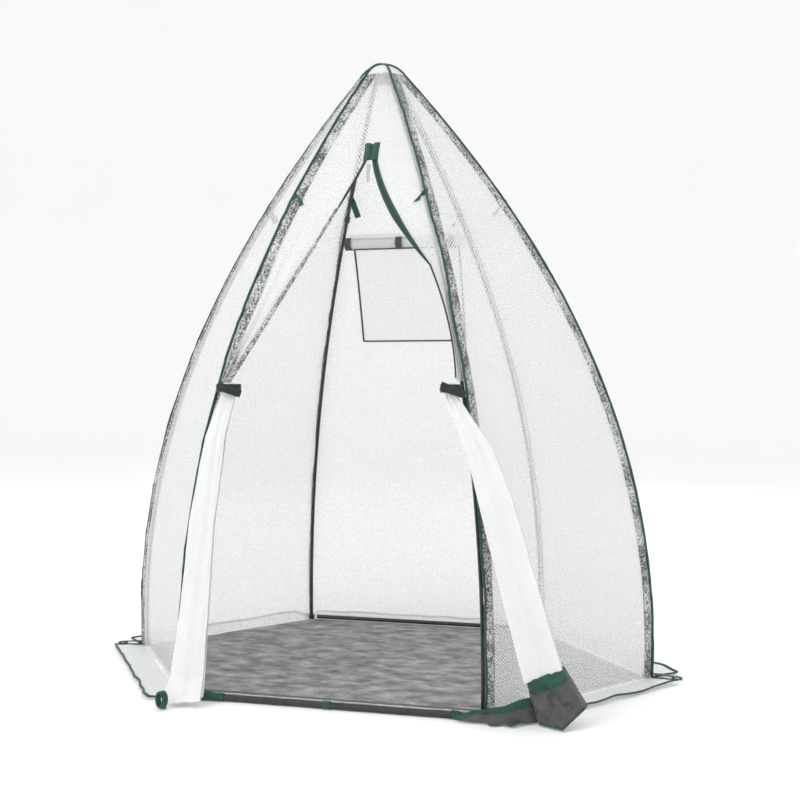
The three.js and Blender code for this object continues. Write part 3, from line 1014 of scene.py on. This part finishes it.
def make_ground():
    """The ground sheet in four strips. Its rim sinks to the ground."""
    share_out = 0.975
    deep = -CORNERS["front_left"].y * share_out
    plan = {
        "front_outer": (0, -deep / 2, "root", "front_mid"),
        "front_inner": (-deep / 2, -deep, "front_mid", "front_frame"),
        "back_outer": (0, deep / 2, "root", "back_mid"),
        "back_inner": (deep / 2, deep, "back_mid", "back_frame"),
    }
    wide, narrow = CORNERS["right"].x * share_out, CORNERS["front_right"].x * share_out
    for label, (start, end, body_a, body_b) in plan.items():

        def point(u, v):
            y = start + (end - start) * v
            half = wide + (narrow - wide) * abs(y) / deep
            x = half * (2 * u - 1)
            rim = min(1.0, 9 * (half - abs(x)), 9 * (deep - abs(y)))
            wrinkle = 0.004 * drift(3.2 * x, 9 * y, 1) + 0.003 * drift(11 * x, 24 * y, 5)
            ridge = 0.006 * max(0.0, drift(2.1 * x + 4, 16 * y, 8)) ** 1.5
            return Vector((x, y, 0.0012 + max(0.0, rim) * (0.004 + wrinkle + ridge)))

        piece = grid(f"ground_cloth_{label}", 110, 34, point, "ground")
        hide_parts("ground_sheet")
        declare(piece)
        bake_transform(piece)


def skirt_point(first, last, s, t, z):
    edge, normal = wall_frame(first, last)
    flat = CORNERS[first] + edge * s + normal * (0.001 + SKIRT_WIDTH * t)
    return Vector((flat.x, flat.y, z))


def make_skirt_part(name, label, first, last, low, high, bodies):
    """A strip of skirt with a slightly lifted, wavy rim and the binding sewn along it."""
    length = (CORNERS[last] - CORNERS[first]).length
    seed = AXIS_NAMES.index(first) * 2.3

    def height(s, t):
        wave = 0.5 + 0.5 * drift(seed, 9 * s * length, 0)
        return 0.0012 + 0.006 * wave * t**2 + 0.003 * (1 + drift(8 * s + seed, 3 * t, 2)) * t

    def place(s, t):
        wander = 0.006 * drift(seed + 4, 18 * s * length, 1) * t
        return skirt_point(first, last, s, t + wander / SKIRT_WIDTH, height(s, t))

    def along(u):
        return low + (high - low) * u

    piece = grid(
        f"skirt_cloth_{name}{label}", 30, 10, lambda u, v: place(along(u), v),
        "film_gathered", lambda u, v: (along(u) * length, SKIRT_WIDTH * v),
    )
    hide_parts(f"skirt_{name}")
    declare(piece)
    parts = [piece]
    rim = [place(along(n / 60), 1.0) + Vector((0, 0, 0.001)) for n in range(61)]
    parts.append(tube(f"skirt_binding_{name}{label}", rim, 0.0034, "binding", 0.7))
    for s, end in ((0.0, low == 0.0), (1.0, high == 1.0)):
        if end:
            line = [place(s, n / 10) + Vector((0, 0, 0.001)) for n in range(11)]
            parts.append(tube(f"skirt_end_{name}{label}_{int(s)}", line, 0.0026, "binding", 0.7))
    for part in parts[1:]:
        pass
    for part in parts:
        if len(bodies) == 1:
            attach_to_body(part, bodies[0])
        else:
            blend_strip(part, bodies, first, last, low, high)


def make_skirts():
    """Two strips of skirt for each side wall, and one whole skirt at the back."""
    for name, (first, last, bodies) in SIDE_WALLS.items():
        for half, label in enumerate(half_names(bodies)):
            low, high = half / 2, half / 2 + 0.5
            make_skirt_part(name, "_" + label, first, last, low, high, bodies[half : half + 2])
    make_skirt_part("back", "", "back_right", "back_left", 0.0, 1.0, ("back_frame",))


def make_stake_tab(name):
    """The folded tape that holds a stake ring to the foot of its corner."""
    low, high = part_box("stake_ring_" + name)
    ring = Vector(((low.x + high.x) / 2, (low.y + high.y) / 2, RING_Z))
    foot = CORNERS[name].normalized()
    outward = Vector((foot.x, foot.y, 0))
    across = Vector((-foot.y, foot.x, 0)) * 0.007
    inner = seam_point(name, 0.010, 0.001)
    lift = Vector((0, 0, 0.0015))
    line = [inner, inner.lerp(ring, 0.5) + lift, ring - outward * 0.0105, ring - outward * 0.0075 + lift]
    tab = ribbon(f"stake_tab_{name}", line, [across] * 4, TAPE_THICKNESS, "binding")
    attach(tab, SEAM_BODIES[name])


def make_stake_coil():
    """The spare stake tape, wound into a small standing coil at the front left corner."""
    centre, winding = Vector((-0.350, -0.572, 0.0225)), []
    for n in range(73):
        angle = 2 * pi * 3 * n / 72 - 1.2
        size = 0.9 + 0.1 * n / 72
        winding.append(centre + Vector((
            0.010 * cos(angle) * size + 0.010 * (n / 72 - 0.5), 0.008 * (n / 72 - 0.5),
            0.0185 * sin(angle) * size,
        )))
    coil = tube("stake_tape_coil", winding, 0.0026, "binding")
    low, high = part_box("stake_ring_front_left")
    ring = Vector(((low.x + high.x) / 2, low.y, RING_Z))
    halfway = ring.lerp(centre, 0.5) + Vector((-0.006, 0, -0.006))
    lead = [ring, halfway, centre + Vector((-0.004, 0.004, -0.014))]
    tape = ribbon("stake_tape_lead", lead, [(0.006, 0, 0)] * 3, TAPE_THICKNESS, "binding")
    for piece in (coil, tape):
        attach(piece, "front_frame")


# -------- stage, lights and camera


def make_stage():
    """A pale floor that curves up into a backdrop on every side."""
    floor_r, rise_r, height = 9.0, 3.0, 9.0
    outline = [(2.0, 0.0), (5.0, 0.0), (floor_r, 0.0)]
    for angle in np.linspace(0.1, pi / 2, 16):
        outline.append((floor_r + rise_r * sin(angle), rise_r * (1 - cos(angle))))
    outline.append((floor_r + rise_r, height))
    sides = 64
    points, faces = [(0.0, 0.0, FLOOR_Z)], []
    for reach, z in outline:
        for i in range(sides):
            angle = 2 * pi * i / sides
            points.append((reach * cos(angle), reach * sin(angle), z + FLOOR_Z))
    for i in range(sides):
        faces.append((0, 1 + i, 1 + (i + 1) % sides))
    for k in range(len(outline) - 1):
        for i in range(sides):
            j = (i + 1) % sides
            base = 1 + k * sides
            faces.append((base + i, base + sides + i, base + sides + j, base + j))
    made, tree, shader = principled("studio_floor", (0.97, 0.97, 0.97), 0.9)
    soft = noise_at(tree, coordinates(tree, "Object"), 0.6, 2.0)
    drive(tree, shader, "Base Color", soft, [(0.2, 0.965), (0.8, 0.975)])
    MATERIALS["floor"] = made
    mesh_object("ground_floor", points, faces, "floor")


def add_light(name, place, target, size, power):
    data = bpy.data.lights.new(name, "AREA")
    data.shape = "SQUARE"
    data.size = size
    data.energy = power
    lamp = bpy.data.objects.new(name, data)
    lamp.location = place
    lamp.rotation_euler = (Vector(target) - Vector(place)).to_track_quat("-Z", "Y").to_euler()
    bpy.context.scene.collection.objects.link(lamp)


def make_lights():
    world = bpy.data.worlds.new("studio")
    world.use_nodes = True
    world.node_tree.nodes["Background"].inputs["Color"].default_value = (1, 1, 1, 1)
    world.node_tree.nodes["Background"].inputs["Strength"].default_value = 1.0
    bpy.context.scene.world = world
    aim = (0, 0, 0.7)
    add_light("key", (-2.6, -3.4, 3.6), aim, 2.5, 85)
    add_light("fill", (3.4, -2.4, 2.0), aim, 3.0, 18)
    add_light("rim", (0.6, 3.6, 3.2), aim, 2.5, 35)
    bpy.context.scene.view_settings.view_transform = "Standard"


def make_camera():
    data = bpy.data.cameras.new("camera")
    data.sensor_width = 36
    data.lens = CAMERA["lens"]
    data.shift_x = CAMERA["shift_x"]
    camera = bpy.data.objects.new("camera", data)
    azimuth, elevation = radians(CAMERA["azimuth"]), radians(CAMERA["elevation"])
    flat = cos(elevation)
    back = Vector((sin(azimuth) * flat, -cos(azimuth) * flat, sin(elevation)))
    camera.location = Vector((0, 0, CAMERA["height"])) + back * CAMERA["distance"]
    camera.rotation_euler = (-back).to_track_quat("-Z", "Y").to_euler()
    bpy.context.scene.collection.objects.link(camera)
    bpy.context.scene.camera = camera


make_camera()
make_stage()
make_lights()
paint_frame()
for wall in SIDE_WALLS:
    make_side_wall(wall)
make_front_panel(-1, "left")
make_front_panel(1, "right")
make_back_panel()
make_window()
make_window_roll()
make_cap()
for corner in AXIS_NAMES:
    make_seam(corner)
    make_pole_tie_tail(corner)
    make_stake_tab(corner)
for corner in SLEEVE_WALLS:
    make_sleeve(corner)
make_zip_tape(-1, "left")
make_zip_tape(1, "right")
make_zip_tab()
make_tail("left", TAIL_LEFT, 5, "door_left")
make_tail("right", TAIL_RIGHT, 5, "door_right")
make_hem()
make_sill_flap()
make_sill()
make_tie_back_tab("left")
make_tie_back_tab("right")
make_stake_coil()
make_ground()
make_skirts()
